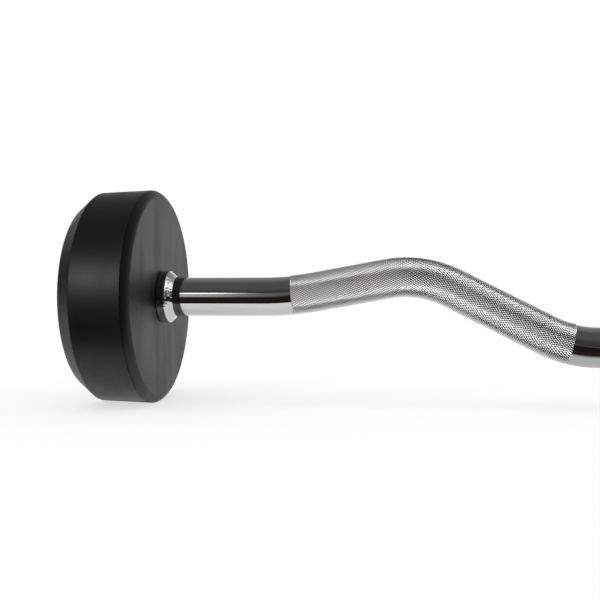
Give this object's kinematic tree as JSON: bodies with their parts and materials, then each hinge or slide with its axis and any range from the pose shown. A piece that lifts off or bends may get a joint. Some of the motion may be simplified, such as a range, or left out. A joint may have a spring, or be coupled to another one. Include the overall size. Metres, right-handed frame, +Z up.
{
  "type": "fixed curl barbell",
  "caption": "Fixed curl barbell: a chromed W-bent bar with knurled grips between two rubber-clad round heads, each bolted and pinned to the bar's end.",
  "frame": {"origin": "middle of the bar's length, on the surface that both heads lie on", "axes": "+X along the common axis of the heads, +Z up, with the bar's middle hanging below that axis, and the bends in the XZ plane"},
  "size_m": [0.8882, 0.1656, 0.1656],
  "materials": {
    "chrome": "bright chrome plate, knurled on the grips",
    "cast_core": "as cast, grey",
    "head_rubber": "moulded black rubber, satin",
    "spring_steel": "oiled spring steel",
    "zinced_steel": "zinc plated",
    "black_steel": "black oxide",
    "plug_rubber": "moulded black rubber, matt"
  },
  "bodies": {
    "root": {"bar": "chrome", "left_collar": "chrome", "left_head_core": "cast_core", "left_head_jacket": "head_rubber", "left_spring_pin_top": "spring_steel", "left_spring_pin_bottom": "spring_steel", "left_clamp_washer": "zinced_steel", "left_lock_washer": "spring_steel", "left_head_bolt": "black_steel", "left_end_plug": "plug_rubber", "right_collar": "chrome", "right_head_core": "cast_core", "right_head_jacket": "head_rubber", "right_spring_pin_top": "spring_steel", "right_spring_pin_bottom": "spring_steel", "right_clamp_washer": "zinced_steel", "right_lock_washer": "spring_steel", "right_head_bolt": "black_steel", "right_end_plug": "plug_rubber"}
  },
  "joints": []
}
